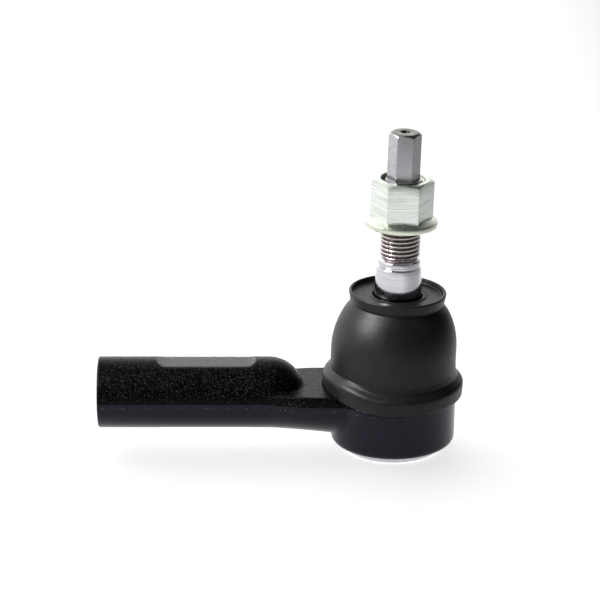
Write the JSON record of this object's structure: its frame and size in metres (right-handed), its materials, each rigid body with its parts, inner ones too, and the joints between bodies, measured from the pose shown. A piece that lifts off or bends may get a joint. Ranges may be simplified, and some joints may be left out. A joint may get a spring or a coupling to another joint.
{
  "type": "tie rod end",
  "caption": "Steering ball joint: forged threaded shank and socket, taper stud with hex drive, rubber dust boot and zinc plated flange nut.",
  "frame": {"origin": "the centre of the mouth of the threaded bore in the shank's end, on the shank's axis", "axes": "+X runs along the shank to the socket, +Z is the socket's axis towards the stud, +Y completes a right-handed frame"},
  "size_m": [0.1279, 0.0492, 0.1155],
  "materials": {
    "black_paint": "semi-gloss black over forged texture",
    "bearing_plastic": "moulded acetal",
    "plain_steel": "bare cold rolled steel",
    "spring_steel": "dark tempered steel",
    "plate_steel": "bright pressed steel",
    "boot_rubber": "satin moulded rubber",
    "ground_steel": "bright turned and ground",
    "zinc_plate": "clear zinc plating with a faint yellow-green tint"
  },
  "bodies": {
    "housing": {"socket_forging": "black_paint", "cover_plate": "plate_steel", "upper_bearing": "bearing_plastic", "boot_base_ring": "plain_steel"},
    "ball_seat": {"lower_bearing": "bearing_plastic", "thrust_washer": "plain_steel", "disc_spring": "spring_steel", "dust_boot": "boot_rubber"},
    "boot_neck": {"boot_neck_ring": "plain_steel"},
    "stud": {"ball_stud": "ground_steel"},
    "nut": {"flange_nut": "zinc_plate"}
  },
  "joints": [
    {"name": "swing_direction", "type": "hinge", "parent": "housing", "child": "ball_seat", "pos_m": [0.1033, 0, 0], "axis": [0, 0, 1], "continuous": true},
    {"name": "stud_swing", "type": "hinge", "parent": "ball_seat", "child": "boot_neck", "pos_m": [0.1033, 0, 0], "axis": [0, 1, 0], "range_deg": [-24, 20], "deforming": ["dust_boot"]},
    {"name": "stud_spin", "type": "hinge", "parent": "boot_neck", "child": "stud", "pos_m": [0.1033, 0, 0], "axis": [0.0349, 0, 0.9994], "continuous": true},
    {"name": "nut_turn", "type": "hinge", "parent": "stud", "child": "nut", "pos_m": [0.1033, 0, 0], "axis": [0.0349, 0, 0.9994], "continuous": true}
  ]
}
